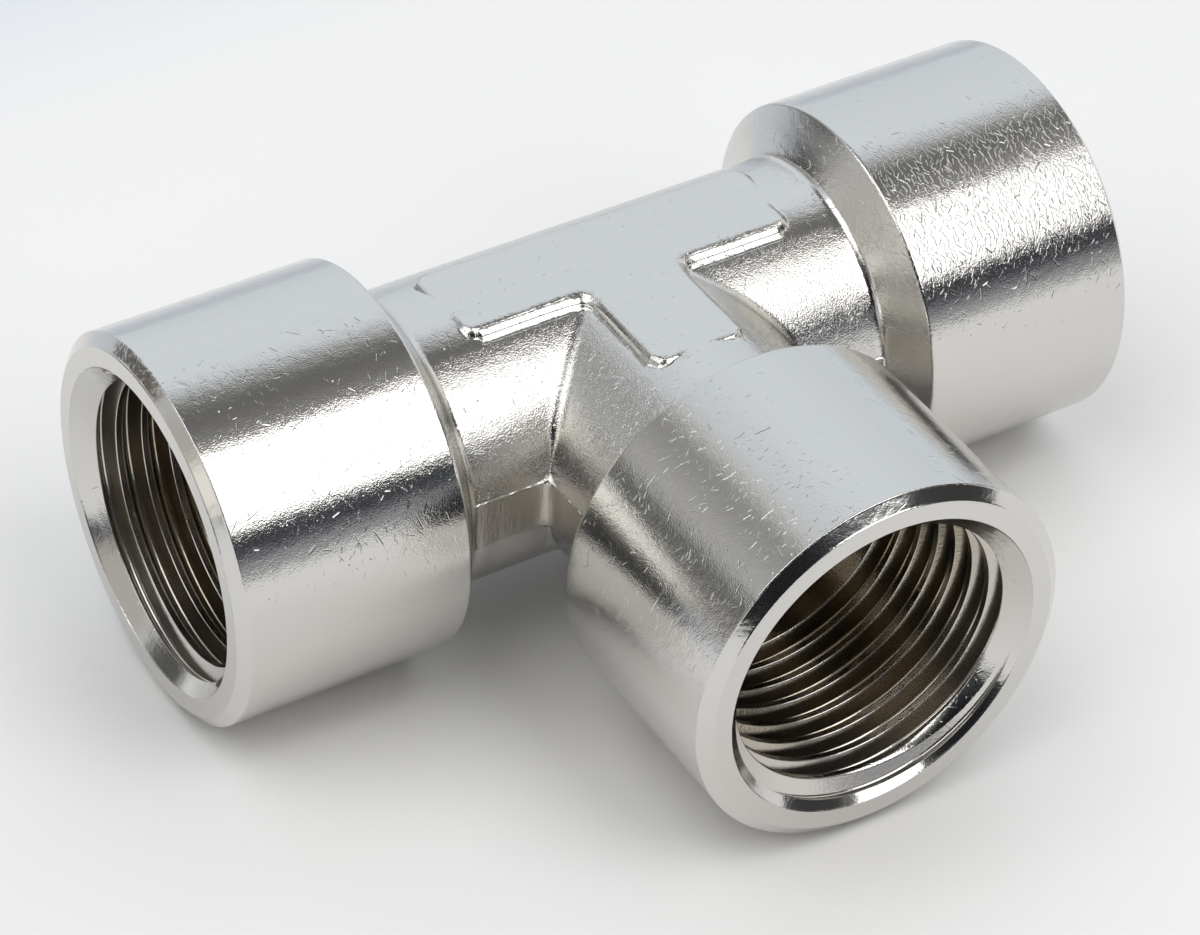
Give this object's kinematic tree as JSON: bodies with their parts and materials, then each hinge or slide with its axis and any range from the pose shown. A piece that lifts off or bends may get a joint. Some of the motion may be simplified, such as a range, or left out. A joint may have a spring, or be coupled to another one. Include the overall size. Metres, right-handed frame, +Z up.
{
  "type": "threaded tee connector",
  "caption": "Forged and nickel-plated equal tee with three internally threaded sockets, a straight run and a square branch, for joining pipes.",
  "frame": {"origin": "on the plane that the part rests on, in the middle of its plan; the three axes cross 10 mm towards +Y and 13 mm above it", "axes": "+X along the straight run, -Y along the branch's socket, +Z up, square to the plane of the three axes"},
  "size_m": [0.066, 0.046, 0.026],
  "materials": {
    "nickel_plate": "nickel plate: turned barrels with a fine orange peel and tumbling scratches, forged middle slightly rougher"
  },
  "bodies": {
    "root": {"tee_body": "nickel_plate"}
  },
  "joints": []
}
